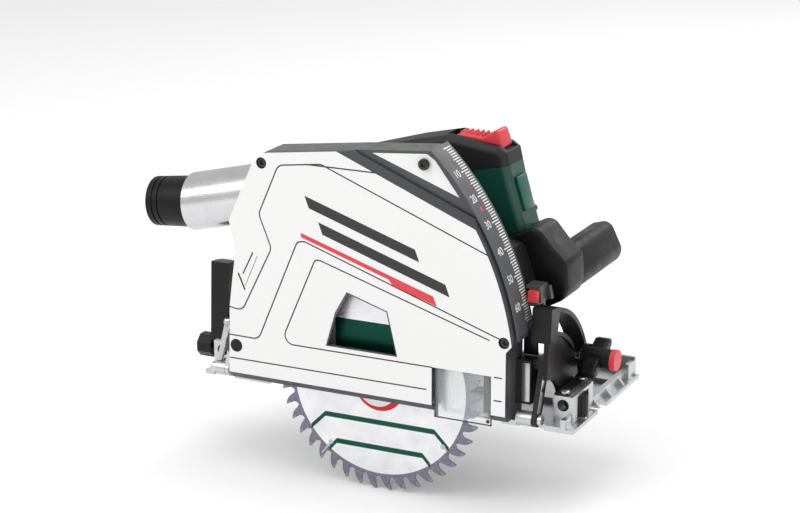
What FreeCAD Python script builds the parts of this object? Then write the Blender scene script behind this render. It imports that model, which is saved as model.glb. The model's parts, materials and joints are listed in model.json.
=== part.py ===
import FreeCAD, Part
import math
import os
import re
import Sketcher
from FreeCAD import Placement, Rotation, Vector

# Track plunge saw, fully plunged. Millimetres, +X forwards (the way it cuts), +Y from the blade
# towards the motor, +Z up. The origin is the centre of the base plate's sole. The blade's axle
# stands over x = 0 with the saw plunged to full depth.

DIMS = {
    # base plate
    "plate_length": 304, "plate_width": 136, "plate_thick": 4, "rim_height": 8,
    "groove_width": 18, "groove_depth": 4, "groove_centre": -10, "end_wall": 142,
    # blade and its line
    "blade_radius": 82.5, "blade_body": 1.2, "kerf": 1.8, "teeth": 42,
    "blade_line": -73, "cut_depth": 66,
    # plunge pivot, measured from the axle when plunged
    "pivot_back": 114.2, "pivot_height": 33.5, "scale_radius": 232,
    # blade cover and guard housing
    "face": -85, "cover_depth": 6, "guard_width": 25, "skin": 2.5, "nose": 106, "hem": 6,
    # bevel hinge
    "hinge_line": -70, "hinge_height": 8, "arc_inner": 65, "arc_slot": 79, "arc_outer": 82.5,
    "bolt_orbit": 72, "bolt_angle": 24.5,
    # gear train
    "module_size": 1, "spindle_teeth": 26, "idler_teeth": 25, "pinion_teeth": 13,
    "motor_back": 22, "motor_rise": 32, "motor_radius": 36,
    # dust port
    "port_line": -61, "port_radius": 22, "port_droop": 13.5, "sleeve_droop": 6,
    # handle
    "handle_half": 17,
}

doc = FreeCAD.newDocument("PlungeSaw")
sheet = doc.addObject("Spreadsheet::Sheet", "Dims")
for row, (alias, number) in enumerate(DIMS.items(), start=1):
    sheet.set(f"A{row}", alias)
    sheet.set(f"B{row}", str(number))
    sheet.setAlias(f"B{row}", alias)
doc.recompute()

ALIAS = re.compile(r"\b(" + "|".join(sorted(DIMS, key=len, reverse=True)) + r")\b")
TURN = {"x": Rotation(Vector(0, 1, 0), 90), "y": Rotation(Vector(1, 0, 0), -90), "z": Rotation()}
nodes = {}


def size(alias):
    """The number that the sheet holds for an alias."""
    return float(sheet.get(alias))


def number(rule):
    """The number that a rule gives with the sheet's present values."""
    if isinstance(rule, (int, float)):
        return rule
    alias, _, extra = rule.partition(" + ")
    return size(alias) + float(extra or 0)


def bind(item, prop, rule):
    """Binds a property to a rule written with the sheet's aliases."""
    item.setExpression(prop, ALIAS.sub(r"Dims.\1", str(rule)))


def put(item, place, turn=None):
    """Places an item, its three coordinates bound to rules."""
    item.Placement = Placement(Vector(), turn or Rotation())
    for axis, rule in zip("xyz", place):
        bind(item, f"Placement.Base.{axis}", rule)
    return item


def box(low, span, turn=None):
    """A block from its low corner and its three spans."""
    item = doc.addObject("Part::Box", "Block")
    for prop, rule in zip(("Length", "Width", "Height"), span):
        bind(item, prop, rule)
    return put(item, low, turn)


def rod(axis, start, radius, length):
    """A round bar along x, y or z, from the centre of its low end."""
    item = doc.addObject("Part::Cylinder", "Bar")
    bind(item, "Radius", radius)
    bind(item, "Height", length)
    return put(item, start, TURN[axis])


def taper(axis, start, low_radius, high_radius, length):
    """A cone frustum along an axis."""
    item = doc.addObject("Part::Cone", "Taper")
    bind(item, "Radius1", low_radius)
    bind(item, "Radius2", high_radius)
    bind(item, "Height", length)
    return put(item, start, TURN[axis])


def join(*items):
    """The union of items that touch."""
    item = doc.addObject("Part::MultiFuse", "Union")
    item.Shapes = list(items)
    item.Refine = True
    return item


def cut(base, *tools):
    """A base with tools taken away from it."""
    item = doc.addObject("Part::Cut", "Cut")
    item.Base = base
    item.Tool = tools[0] if len(tools) == 1 else group(*tools)
    item.Refine = True
    return item


def common(*items):
    """What items share."""
    item = doc.addObject("Part::MultiCommon", "Common")
    item.Shapes = list(items)
    item.Refine = True
    return item


def group(*items):
    """Separate solids kept as one item, such as a set of screws."""
    item = doc.addObject("Part::Compound", "Set")
    item.Links = list(items)
    return item


def prism(plane, corners, start, depth):
    """A padded outline: a body whose sketch corners are bound to rules. plane is xz, yz or xy."""
    body = doc.addObject("PartDesign::Body", "Body")
    role = {"xz": "XZ_Plane", "yz": "YZ_Plane", "xy": "XY_Plane"}[plane]
    datum = next(f for f in body.Origin.OriginFeatures if f.Role == role)
    sketch = body.newObject("Sketcher::SketchObject", "Outline")
    sketch.AttachmentSupport = [(datum, "")]
    sketch.MapMode = "FlatFace"
    count = len(corners)
    guess = [Vector(10 * math.cos(6.28 * k / count), 10 * math.sin(6.28 * k / count),
                    0) for k in range(count)]
    numbers = [all(isinstance(v, (int, float)) for v in corner) for corner in corners]
    points = [Vector(*corners[k], 0) if numbers[k] else guess[k] for k in range(count)]
    for k in range(count):
        sketch.addGeometry(Part.LineSegment(points[k], points[(k + 1) % count]), False)
    for k in range(count):
        sketch.addConstraint(Sketcher.Constraint("Coincident", k, 2, (k + 1) % count, 1))
    for k, corner in enumerate(corners):
        for kind, rule in zip(("DistanceX", "DistanceY"), corner):
            value = points[k].x if kind == "DistanceX" else points[k].y
            index = sketch.addConstraint(Sketcher.Constraint(kind, k, 1, value))
            sketch.renameConstraint(index, f"{kind}{k}")
            bind(sketch, f"Constraints.{kind}{k}", rule)
    pad = body.newObject("PartDesign::Pad", "Pad")
    pad.Profile = sketch
    pad.Reversed = plane == "xz"
    bind(pad, "Length", depth)
    along = {"xz": (0, start, 0), "yz": (start, 0, 0), "xy": (0, 0, start)}[plane]
    return put(body, along)


def soften(item, radius, pick):
    """Rounds the edges that pick chooses."""
    doc.recompute()
    chosen = [k for k, edge in enumerate(item.Shape.Edges, start=1) if pick(edge)]
    rounded = doc.addObject("Part::Fillet", "Rounded")
    rounded.Base = item
    rounded.Edges = [(k, radius, radius) for k in chosen]
    return rounded


def shaped(shape, place=None):
    """An item from a shape that code has made."""
    item = doc.addObject("Part::Feature", "Shaped")
    item.Shape = shape
    if place:
        item.Placement = place
    return item


def node(name, item):
    """Marks an item as the sub-part of that name."""
    item.Label = name
    nodes[name] = item
    return item


def polar(centre, radius, degrees):
    """A point on a circle, in the plane of the circle."""
    angle = math.radians(degrees)
    return centre[0] + radius * math.cos(angle), centre[1] + radius * math.sin(angle)


def mid(edge):
    """The middle point of an edge."""
    return edge.CenterOfMass


PIVOT = ("-pivot_back", "pivot_height")
AXLE_Z = "blade_radius - cut_depth"
BACK = "face + cover_depth"


# ---------------------------------------------------------------- base plate and its fittings

def base_plate():
    """The die-cast sole: rail groove below, ribs and upstands above, and a bay for the gear case."""
    half_l, half_w = "plate_length / 2", "plate_width / 2"
    g0, g1 = "groove_centre - groove_width / 2", "groove_centre + groove_width / 2"
    section = [
        (f"-{half_w}", 0), (g0, 0), (g0, "groove_depth"), (g1, "groove_depth"), (g1, 0), (half_w, 0),
        (half_w, "rim_height"), (f"{half_w} - 4", "rim_height"), (f"{half_w} - 4", "plate_thick"),
        (f"{g1} + 4", "plate_thick"), (f"{g1} + 4", "rim_height"), (f"{g0} - 4", "rim_height"),
        (f"{g0} - 4", "plate_thick"), (f"-{half_w}", "plate_thick"),
    ]
    plate = prism("yz", section, f"-{half_l}", "plate_length")
    bay = box((-34, f"-{half_w} - 1", -1), (62, 40, 20))
    slits = [box((x, f"-{half_w} - 1", -1), (w, 4.1, 20)) for x, w in ((109.7, 19.6), (-144.4, 18))]
    nose = box(("end_wall + 4", f"-{half_w} - 1", 3), (20, "plate_width + 2", 20))
    tail = box(("-end_wall - 24", f"-{half_w} - 1", 3), (20, "plate_width + 2", 20))
    body = cut(plate, bay, nose, tail, *slits)
    parts = [body]
    for sign in (1, -1):
        x = "end_wall" if sign > 0 else "-end_wall - 4"
        parts.append(box((x, f"-{half_w}", "plate_thick - 1"), (4, "plate_width", 7)))
        for k in range(6):
            y = -67 + 26 * k
            gusset = [(0, 2.5), (0, 9), (5.5, 2.5)] if sign > 0 else [(0, 2.5), (-5.5, 2.5), (0, 9)]
            wedge = prism("xz", gusset, 0, 3)
            edge = "end_wall + 4" if sign > 0 else "-end_wall - 4"
            parts.append(put(wedge, (edge, y, 0)))
    for x in (-100, -60, 44, 84):
        parts.append(box((x, f"{g1} + 3", "plate_thick - 1"), (3, f"{half_w} - 5 - ({g1})", 4.5)))
    parts.append(box((f"-{half_l} + 12", 34, "plate_thick - 1"), ("plate_length - 24", 3, 4.5)))
    undercut = prism("yz", [(-70, 5.2), (-70, -1), (-63, -1)], -96, 192)
    parts.append(box((132, "plate_width / 2 - 3", "plate_thick - 1"), (17, 3, 14)))
    parts.append(box((146, "plate_width / 2 - 16", "plate_thick - 1"), (3, 16, 12)))
    seats = [((131, -56.3), (22, 40.6)), ((-153, -56.3), (17.3, 40.6)), ((117.9, -36.1), (15.3, 22.2)),
             ((-146.2, -36.1), (15.3, 22.2)), ((-146.2, 3.9), (15.3, 14.2)), ((117.9, 3.9), (15.3, 14.2))]
    tools = [box((*low, "plate_thick"), (*span, 20)) for low, span in seats]
    tools += [box((x, f"-{half_w} - 1", 2), (w, 4.1, 20)) for x, w in ((109.7, 19.6), (-144.4, 18))]
    return cut(join(*parts), undercut, *tools)


def hinge_knuckles():
    """Knuckles that stand on the plate and hold the bevel pins, one at each end."""
    made = []
    for x, wide in ((110, 12), (-139.1, 8)):
        barrel = rod("x", (x, "hinge_line", "hinge_height"), 5.5, wide)
        foot = box((x, "hinge_line + 2.2", "plate_thick"), (wide, 9, 6.5))
        drill = rod("x", (x - 1, "hinge_line", "hinge_height"), 2.5, 14)
        made.append(cut(join(barrel, foot), drill))
    return group(*made)


def hinge_pins():
    """The two bevel hinge pins with their dished heads."""
    made = []
    for low, head_x, socket_x, long in ((110, 126, 127.5, 16), (-139.1, -142.1, -143.1, 11.7)):
        shank = rod("x", (low, "hinge_line", "hinge_height"), 2.5, long)
        head = rod("x", (head_x, "hinge_line", "hinge_height"), 4, 3)
        socket = rod("x", (socket_x, "hinge_line", "hinge_height"), 1.6, 2.5)
        made.append(cut(join(shank, head), socket))
    return group(*made)


def ring(x, thick, r0, r1, a0, a1):
    """A slice of a ring about the bevel hinge line, square to x."""
    centre = (size("hinge_line"), size("hinge_height"))
    middle = (a0 + a1) / 2
    low = [Vector(x, *polar(centre, r0, a)) for a in (a0, middle, a1)]
    high = [Vector(x, *polar(centre, r1, a)) for a in (a0, middle, a1)]
    edges = [
        Part.makeLine(low[0], high[0]), Part.Arc(*high).toShape(),
        Part.makeLine(high[2], low[2]), Part.Arc(*low[::-1]).toShape(),
    ]
    return Part.Face(Part.Wire(edges)).extrude(Vector(thick, 0, 0))


def quadrant(x, web_x, head_inner):
    """A bevel quadrant: a curved slot between two rims, a head, a web plate and a foot on the base."""
    inner, slot, outer = size("arc_inner"), size("arc_slot"), size("arc_outer")
    rim = ring(x, 15, slot, outer, 0, 84)
    sill = ring(x, 15, inner - 3, inner, 40, 84)
    head = ring(x, 15, head_inner, outer, 75.5, 87)
    web = ring(web_x, 3.5, 30, inner - 1, 16, 87)
    leg = Part.makeBox(3.5, 24, 36, Vector(web_x, -38, 4))
    leg = leg.common(ring(web_x, 3.5, 24, inner - 1, -6, 60))
    foot = Part.makeBox(15, 14, 6, Vector(x, 4, 4))
    return shaped(rim.fuse([sill, head, web, leg, foot]).removeSplitter())


def rod_block(x, screw_side):
    """An aluminium block with a cross bore for the fence rods, a bay for its clamp and a clamp thread."""
    block = box((x, -56, "plate_thick"), (15, 40, 19.5))
    bore = rod("y", (x + 7.5, -57, 16.5), 4.5, 60)
    if screw_side > 0:
        drills = [rod("z", (x + 7.5, y, 21.05), 1.4, 8) for y in (-52.5, -19.5)]
        bay = rod("z", (x + 11, -36, "plate_thick - 1"), 11.4, 18)
        return cut(block, bore, bay, *drills)
    thread = rod("x", (x - 1, -48, 16.5), 2.55, 6)
    return cut(block, bore, thread)


def ribbed_wheel():
    """A ribbed cam wheel that squeezes the fence rod in the front block."""
    wheel = rod("z", (141.4, -36, "plate_thick + 0.3"), 8.9, 16.3)
    grooves = []
    for k in range(16):
        x, y = polar((141.4, -36), 9.2, 22.5 * k)
        grooves.append(rod("z", (x, y, 4), 0.8, 18))
    cam = rod("y", (139, -57, 16.5), 4.8, 60)
    return cut(wheel, *grooves, cam)


def wing_knob(x, y, z, way, wing_length, bore):
    """A clamp knob with a hub and two wings, turning about x; way is the side that it faces."""
    hub_low = x if way > 0 else x - 22
    hub = rod("x", (hub_low, y, z), 7.5, 22)
    skirt = rod("x", (x if way > 0 else x - 4, y, z), 9.5, 4)
    wing_low = x + 3 if way > 0 else x - 15.6
    half = wing_length
    outline = [(-half, -3), (-half + 4, -5.5), (half - 7, -4.5), (half, -1), (half, 3), (half - 4, 5.5),
               (-half + 7, 4.5), (-half, 1)]
    lean = math.radians(22)
    turned = [(y + a * math.cos(lean) - b * math.sin(lean), z + a * math.sin(lean) + b * math.cos(lean))
              for a, b in outline]
    rounded = soften(prism("yz", turned, wing_low, 12), 2,
                     lambda e: abs(e.Length - 12) > 0.01 and e.Length > 3)
    hole_low = x - 1 if way > 0 else x - 19
    return cut(join(hub, skirt, rounded), rod("x", (hole_low, y, z), bore, 20))


# ---------------------------------------------------------------- guard: cover, housing, arms

COVER = [
    (-121, "hem"), (-119.3, 64), (-116.5, 86), (-113.5, 106.5), (-118.5, 131), (-97.4, 177.6),
    (-88.6, 185.3), (-16.6, 194.3), ("nose + 5", 142.3), ("nose + 5", 66), ("nose", 60), ("nose", "hem"),
]
HOUSING = COVER[:8] + [(42.7, 199.6), (51, 195.5), (117, 160), (117, 70), ("nose", 64), ("nose", "hem")]


def inset(corners, gap):
    """The outline moved inwards by a gap, worked out corner by corner."""
    plain = [tuple(number(v) for v in corner) for corner in corners]
    wire = Part.makePolygon([Vector(x, 0, z) for x, z in plain + plain[:1]])
    moved = wire.makeOffset2D(-gap, 2)
    return [(v.X, v.Z) for v in moved.OrderedVertexes]


def groove(points, radius, width, depth, y):
    """A groove along a path with rounded corners, sunk into the cover's face."""
    if len(points) == 2:
        (x0, z0), (x1, _) = points
        return Part.makeBox(x1 - x0, depth, width, Vector(x0, y, z0 - width / 2))
    edges, start = [], Vector(points[0][0], y, points[0][1])
    for before, corner, after in zip(points, points[1:], points[2:]):
        at = Vector(corner[0], y, corner[1])
        back = (Vector(before[0], y, before[1]) - at)
        ahead = (Vector(after[0], y, after[1]) - at)
        half = back.getAngle(ahead) / 2
        trim = min(radius / math.tan(half), 0.45 * back.Length, 0.45 * ahead.Length)
        first, last = at + back.normalize() * trim, at + ahead.normalize() * trim
        centre = at + (back + ahead).normalize() * (trim / math.cos(half))
        middle = centre + (at - centre).normalize() * (trim * math.tan(half))
        edges.append(Part.makeLine(start, first))
        edges.append(Part.Arc(first, middle, last).toShape())
        start = last
    edges.append(Part.makeLine(start, Vector(points[-1][0], y, points[-1][1])))
    band = Part.Wire(edges).makeOffset2D(width / 2, 0, False, False)
    return Part.Face(band).extrude(Vector(0, depth, 0))


GROOVES = [
    # outer panel line, from the rear edge up, round and down to the nose
    [(-125, 64.4), (-108.5, 61.8), (-82.8, 113.4), (-93, 138.8), (-76, 177.5), (-41, 182), (91.5, 130.5)],
    # second line of the same channel
    [(-53.5, 180.6), (86.5, 125.4)],
    # raised middle panel
    [(-125, 41.6), (-95, 41.2), (-61, 121.4), (-55, 122.2), (101, 70)],
    # inner panel round the sight window
    [(93, 68), (-42.5, 109.5), (-46.5, 109.2), (-76, 41), (48, 40.8)],
    # hem line
    [(-125, 23.2), (44, 23.2)],
    [(97, 23.2), (103.5, 23.2)],
    [(97, 40.8), (103.5, 40.8)],
]
SCREWS = [(-90.1, 177.6), (104.5, 67.4), (39.4, 189.9)]
SIGHT = [(-37, 45.3), (-29.4, 71), (-20.3, 87.2), (11.7, 77.4), (19.4, 45.3)]


def blade_cover():
    """The removable outer cover: a shallow shell with sloped edges, a sight window and a chip bay."""
    shell = prism("xz", COVER, "face", "cover_depth")
    cone = taper("y", (PIVOT[0], "face", PIVOT[1]), "scale_radius - 5.5", "scale_radius - 1.2",
                 "cover_depth")
    slopes = []
    hem = [(size("face") - 1, 13), (size("face") - 1, -8), (size("face") + 8, -8), (size("face") + 8, 4)]
    slopes.append(prism("yz", hem, -150, 300))
    edge = Vector(-16.6 - 111, 0, 194.3 - 142.3).normalize()
    out = Vector(-edge.z, 0, edge.x) * (-1 if edge.x < 0 else 1)
    a, b = Vector(-16.6, 0, 194.3) + edge * 30, Vector(111, 0, 142.3) - edge * 30
    face = size("face")
    tri = Part.makePolygon([
        a + Vector(0, face - 0.5, 0) - out * 7.5, a + Vector(0, face - 0.5, 0) + out * 6,
        a + Vector(0, face + 7, 0) + out * 6, a + Vector(0, face - 0.5, 0) - out * 7.5,
    ])
    slopes.append(shaped(Part.Face(tri).extrude(b - a)))
    outer = cut(common(shell, cone), *slopes)
    hollow = prism("xz", inset(COVER, size("skin") + 2.5), "face + skin", "cover_depth")
    bowl = rod("y", (PIVOT[0], "face + skin", PIVOT[1]), "scale_radius - 9", "cover_depth")
    room = cut(common(hollow, bowl), prism("yz", [(-83, 5), (-78, 5), (-78, 7.2), (-83, 12.2)], -130, 260))
    relief = box((-10, -80.7, 9.7), (20, 3, 14))
    boss = rod("y", (PIVOT[0], "face + 1", PIVOT[1]), 10, "cover_depth - 1")
    shell_open = join(cut(outer, room), boss)
    window = prism("xz", SIGHT, "face - 1", "skin + 2")
    bay = box((48, "face - 1", -1), (47, "cover_depth + 2", 42))
    cuts = [groove(path, 7, 1.1, 0.8, face) for path in GROOVES]
    tools = [window, bay, relief, rod("y", (PIVOT[0], "face - 1", PIVOT[1]), 5, "cover_depth + 2")]
    tools += [rod("y", (x, "face - 1", z), 4.3, "cover_depth + 2") for x, z in SCREWS[:2]]
    tools += [shaped(shape) for shape in cuts]
    return cut(shell_open, *tools)


def guard_housing():
    """The channel behind the cover: top and nose walls, a back flange and the panel above the cover."""
    outer = common(
        prism("xz", HOUSING, BACK, "guard_width"),
        rod("y", (PIVOT[0], BACK, PIVOT[1]), "scale_radius - 1", "guard_width"),
    )
    hollow = common(
        prism("xz", inset(HOUSING, 3), f"{BACK} - 1", "guard_width - 2"),
        rod("y", (PIVOT[0], f"{BACK} - 1", PIVOT[1]), "scale_radius - 5", "guard_width - 2"),
    )
    sweep = rod("y", (PIVOT[0], BACK, PIVOT[1]), 170, "guard_width + 2")
    floor = box((-110, BACK, -5), (200, "guard_width + 1", 60))
    back_open = join(sweep, floor)
    channel = cut(outer, hollow, back_open)
    walls = cut(outer, common(
        prism("xz", inset(HOUSING, 3), f"{BACK} - 1", "guard_width + 3"),
        rod("y", (PIVOT[0], f"{BACK} - 1", PIVOT[1]), "scale_radius - 5", "guard_width + 3"),
    ), box((-112, f"{BACK} - 1", -5), (202, "guard_width + 2", 16)))
    panel = common(
        prism("xz", [(-25, 191), (-16.6, 194.3), (42.7, 199.6), (51, 195.5), (117, 160), (117, 137)],
              BACK, 3),
        rod("y", (PIVOT[0], BACK, PIVOT[1]), "scale_radius - 1", 3),
    )
    lug = cut(join(rod("y", (PIVOT[0], BACK, PIVOT[1]), 11, 8), box((-121.5, BACK, 24), (10, 8, 19))),
              rod("y", (PIVOT[0], f"{BACK} - 1", PIVOT[1]), 5.05, 10))
    outlet = port_tube(11.5, 0, -30, 60)
    bosses = [rod("y", (x, BACK, z), 5, 9) for x, z in SCREWS]
    drills = [rod("y", (x, f"{BACK} - 1", z), 2, 11) for x, z in SCREWS]
    shaft = rod("y", (PIVOT[0], f"{BACK} - 1", PIVOT[1]), 5, "guard_width + 2")
    spring_room = rod("y", (PIVOT[0], -70.5, PIVOT[1]), 9.5, 16)
    return cut(join(channel, walls, panel, lug, *bosses), outlet, shaft, spring_room, *drills)


def put_port(item, along):
    """Puts a bar on the dust port's axis, so many millimetres out from the guard's rear wall."""
    droop = math.radians(size("port_droop"))
    turn = Rotation(Vector(0, 1, 0), 270 - size("port_droop"))
    x, z = -104 - along * math.cos(droop), 148.2 - along * math.sin(droop)
    item.Placement = Placement(Vector(x, size("port_line"), z), turn)
    return item


def port_tube(radius, bore, start, length, mouth=None):
    """A round tube, or a bar when the bore is nothing, on the dust port's axis."""
    tube = Part.makeCone(radius, mouth, length) if mouth else Part.makeCylinder(radius, length)
    if bore:
        tube = tube.cut(Part.makeCylinder(bore, length + 2, Vector(0, 0, -1)))
    return put_port(shaped(tube), start)


def depth_scale():
    """The curved scale plate that follows the plunge arc, held on the housing by its inner edge."""
    low, high = math.radians(9.5), math.radians(46.5)
    strip = [(231.02, -83), (232, -83), (232, -54), (231.02, -54), (231.02, -83)]
    face = Part.makePolygon([Vector(radius, y, 0) for radius, y in strip])
    swept = Part.Face(face)
    pivot = Vector(-size("pivot_back"), 0, size("pivot_height"))
    solid = swept.revolve(Vector(), Vector(0, 1, 0), -math.degrees(high - low))
    solid.rotate(Vector(), Vector(0, 1, 0), -math.degrees(low))
    solid.translate(pivot)
    return shaped(solid)


def cover_screws():
    """The three screws of the cover and the upper panel."""
    made = []
    for (x, z), y, long in zip(SCREWS, (-83.6, -83.6, -82), (9, 9, 8)):
        head = rod("y", (x, y, z), 4, 3)
        shank = rod("y", (x, y + 2, z), 2, long)
        drive = rod("y", (x, y - 1, z), 1.6, 2.4)
        made.append(cut(join(head, shank), drive))
    return group(*made)


def guard_arm(reach_x, strip_x, block_low, block_high):
    """An arm of the guard: a block on its wall, a strip down to the bevel pin and a reach to the stud."""
    strip = prism("yz", [(-74.6, 11), (-66, 4.2), (-53, 44), (-54, 50), (-61, 50)], strip_x, 3.4)
    eye = rod("x", (strip_x, "hinge_line", "hinge_height"), 5.5, 3.4)
    block = box((block_low, -66, 17), (block_high - block_low, 12, 33))
    foot = box((min(block_low, strip_x), -61, 43),
               (max(block_high, strip_x + 3.4) - min(block_low, strip_x), 7, 7))
    reach = prism("yz", [(-66, 31), (-8, 31), (-2, 33), (-2, 43), (-8, 45), (-66, 46)], reach_x, 3.4)
    pin = rod("x", (strip_x - 1, "hinge_line", "hinge_height"), 2.55, 6)
    y, z = polar((size("hinge_line"), size("hinge_height")), size("bolt_orbit"), size("bolt_angle"))
    hole = rod("x", (reach_x - 1, y, z), 3, 6)
    return cut(join(block, foot, strip, eye, reach), pin, hole)


def clamp_studs():
    """The studs and washers that the two bevel knobs pull on."""
    y, z = polar((size("hinge_line"), size("hinge_height")), size("bolt_orbit"), size("bolt_angle"))
    made = []
    for low, length, washer in ((114.3, 35, 133.3), (-162, 34.9, -147.5)):
        made.append(join(rod("x", (low, y, z), 3, length), rod("x", (washer, y, z), 7.4, 1.2)))
    return group(*made)


TOOTH = [
    (75, 0.35), (78.35, 0.2), (78.9, 1.32), (81.9, 1.22), (81.2, 2.0), (79.9, 3.0), (78.2, 4.0),
    (75.9, 4.9), (73.9, 5.6), (72.8, 6.4), (72.8, 7.3), (73.7, 8.1),
]
CARBIDE = [(82.5, -0.2), (82.25, 1.15), (79.0, 1.25), (78.45, 0.13)]


def around(profile, tooth):
    """The points of one tooth's profile, given as radius and lag behind the tooth's face in degrees."""
    places = []
    for radius, lag in profile:
        a = -math.radians(tooth * 360 / size("teeth") - 2 - lag)
        places.append((radius * math.sin(a), AXLE + radius * math.cos(a)))
    return places


AXLE = size("blade_radius") - size("cut_depth")


def saw_blade():
    """The steel blade with its bore and four expansion slots."""
    y = size("blade_line") - size("blade_body") / 2
    rim = [place for k in range(int(size("teeth")), 0, -1) for place in around(TOOTH, k)]
    wire = Part.makePolygon([Vector(x, y, z) for x, z in rim + rim[:1]])
    disc = Part.Face(wire).extrude(Vector(0, size("blade_body"), 0))
    tools = [Part.makeCylinder(10, 5, Vector(0, y - 1, AXLE), Vector(0, 1, 0))]
    for k in range(4):
        slot = Part.makeBox(14, 5, 1.2, Vector(66, y - 1, -0.6)).fuse(
            Part.makeCylinder(2, 5, Vector(66, y - 1, 0), Vector(0, 1, 0)))
        slot.rotate(Vector(), Vector(0, 1, 0), 38 + 90 * k)
        slot.translate(Vector(0, 0, AXLE))
        tools.append(slot)
    return shaped(disc.cut(tools))


def carbide_tips():
    """One carbide tip on the face of every tooth."""
    made, y = [], size("blade_line") - size("kerf") / 2
    for k in range(int(size("teeth"))):
        corners = [Vector(x, y, z) for x, z in around(CARBIDE, k)]
        face = Part.Face(Part.makePolygon(corners + corners[:1]))
        made.append(face.extrude(Vector(0, size("kerf"), 0)))
    return shaped(Part.makeCompound(made))


def gear(teeth, x, z, y, width, bore, phase=0):
    """A spur gear with trapezoid teeth, its axle along y."""
    module = size("module_size")
    root, tip = teeth * module / 2 - 1.25 * module, teeth * module / 2 + 0.9 * module
    pitch, points = 360 / teeth, []
    for k in range(teeth):
        for radius, part in ((root, -0.34), (tip, -0.12), (tip, 0.12), (root, 0.34)):
            a = math.radians((k + part) * pitch + phase)
            points.append(Vector(x + radius * math.sin(a), y, z + radius * math.cos(a)))
    solid = Part.Face(Part.makePolygon(points + points[:1])).extrude(Vector(0, width, 0))
    return shaped(solid.cut(Part.makeCylinder(bore, width + 2, Vector(x, y - 1, z), Vector(0, 1, 0))))


MOTOR = (-size("motor_back"), AXLE + size("motor_rise"))


def idler_place():
    """Where the idler meshes with both the spindle gear and the pinion."""
    first = (size("spindle_teeth") + size("idler_teeth")) / 2 * size("module_size")
    second = (size("pinion_teeth") + size("idler_teeth")) / 2 * size("module_size")
    gap = math.hypot(MOTOR[0], MOTOR[1] - AXLE)
    along = (first ** 2 - second ** 2 + gap ** 2) / (2 * gap)
    aside = math.sqrt(first ** 2 - along ** 2)
    ux, uz = MOTOR[0] / gap, (MOTOR[1] - AXLE) / gap
    return along * ux + aside * uz, AXLE + along * uz - aside * ux


IDLER = idler_place()


def mesh_phase(first, first_teeth, first_phase, second, second_teeth):
    """The turn that puts a second gear's gap opposite the first gear's tooth."""
    toward = math.degrees(math.atan2(second[0] - first[0], second[1] - first[1]))
    part = ((toward - first_phase) * first_teeth / 360) % 1
    return toward + 180 + (part - 0.5) * 360 / second_teeth


IDLER_PHASE = mesh_phase((0, AXLE), 26, 0, IDLER, 25)
CASE = [
    (-122, 26), (-108, 22), (-60, 20), (-34, 26), (-16, 16), (-13, 7), (-7, 1.6), (7, 1.6), (13, 7),
    (17, 16),
    (34, 34), (60, 66), (108, 90), (112, 96), (112, 124), (84, 128), (40, 92), (-22, 88), (-60, 64),
    (-100, 46),
    (-122, 42),
]


def reach_limit():
    """The cylinder about the pivot inside which the gear case must stay, clear of the depth stop."""
    return rod("y", (PIVOT[0], -60, PIVOT[1]), "scale_radius - 3", 40)


def gear_housing():
    """The gear case: a shell round the gear train with an arm back to the pivot and one forward."""
    outer = prism("xz", CASE, -52.5, 19.5)
    pocket = prism("xz", [(-36, 34), (-15, 24), (-14.9, 10), (-6, 2.3), (6, 2.3), (14.9, 10), (16, 20),
                          (24, 40),
                          (18, 62), (-6, 66), (-34, 64)], -50, 20)
    arm_core = prism("xz", [(-98, 32), (-60, 28), (-44, 33), (-44, 58), (-60, 56), (-98, 42)], -49, 20)
    front_core = prism("xz", [(36, 46), (60, 72), (82, 84), (82, 118), (42, 86), (30, 70)], -49, 20)
    tools = [rod("y", ("-pivot_back", -60, "pivot_height"), 5.05, 40), rod("y", (0, -60, AXLE_Z), 8, 20)]
    tools += [rod("y", (MOTOR[0], -52, MOTOR[1]), 4.5, 5), rod("y", (IDLER[0], -52, IDLER[1]), 3, 5)]
    boss = rod("y", (0, -54.5, AXLE_Z), 12, 3)
    tools.append(rod("y", (-22, -53, 74), 4.05, 9))
    return cut(common(join(outer, boss), reach_limit()), pocket, arm_core, front_core, *tools)


def gear_cover():
    """The lid of the gear case, which carries the inner ends of the shafts."""
    lid = prism("xz", CASE, -33, 3.5)
    tools = [rod("y", ("-pivot_back", -40, "pivot_height"), 5.05, 20), rod("y", (0, -33.5, AXLE_Z), 6, 2.6)]
    tools += [rod("y", (MOTOR[0], -40, MOTOR[1]), 11, 20), rod("y", (IDLER[0], -33.5, IDLER[1]), 3, 2.6)]
    return cut(common(lid, reach_limit()), *tools)


def motor_housing():
    """The motor's tube with a front flange."""
    radius = "motor_radius"
    tube = cut(rod("y", (MOTOR[0], -29.5, MOTOR[1]), radius, 98),
               rod("y", (MOTOR[0], -30, MOTOR[1]), "motor_radius - 2.5", 100))
    web = cut(rod("y", (MOTOR[0], -29.5, MOTOR[1]), "motor_radius - 1", 3),
              rod("y", (MOTOR[0], -31, MOTOR[1]), 11, 6))
    return join(tube, web)


def motor_cap():
    """The end cap with its cooling slots."""
    shell = cut(rod("y", (MOTOR[0], 68.5, MOTOR[1]), "motor_radius", 22),
                rod("y", (MOTOR[0], 68, MOTOR[1]), "motor_radius - 3", 19.5))
    round_cap = soften(shell, 5, lambda e: abs(mid(e).y - 90.5) < 0.01 and e.Length > 200)
    slots = [box((MOTOR[0] - 22, 84, MOTOR[1] - 22 + 8 * k), (44, 10, 3)) for k in range(6)]
    return cut(round_cap, *slots)


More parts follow.
